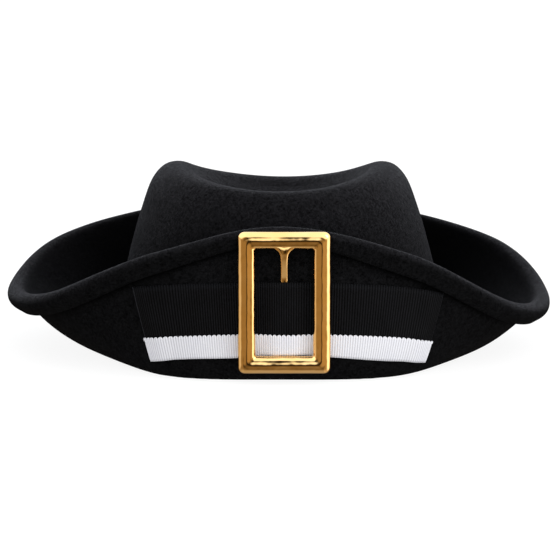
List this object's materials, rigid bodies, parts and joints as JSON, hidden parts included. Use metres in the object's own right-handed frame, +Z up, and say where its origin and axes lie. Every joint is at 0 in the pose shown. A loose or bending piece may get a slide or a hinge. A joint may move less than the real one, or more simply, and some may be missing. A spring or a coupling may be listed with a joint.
{
  "type": "two-cornered felt hat with slide buckle",
  "caption": "Black felt hat, brim turned up at near and far sides into two rounded corners, dented crown, ribbon threaded through a rectangular slide buckle.",
  "frame": {"origin": "on the surface that the hat rests on, below the middle of its bounding box", "axes": "+X towards the wearer's left corner, which is the viewer's right, -Y towards the buckle side, +Z up through the crown"},
  "size_m": [0.2748, 0.252, 0.0921],
  "materials": {
    "felt": "matte wool felt",
    "black_ribbon": "ribbed grosgrain",
    "white_ribbon": "ribbed grosgrain",
    "gold_metal": "polished cast metal"
  },
  "bodies": {
    "root": {"felt_body": "felt", "black_ribbon": "black_ribbon", "white_ribbon": "white_ribbon", "buckle": "gold_metal"}
  },
  "joints": []
}
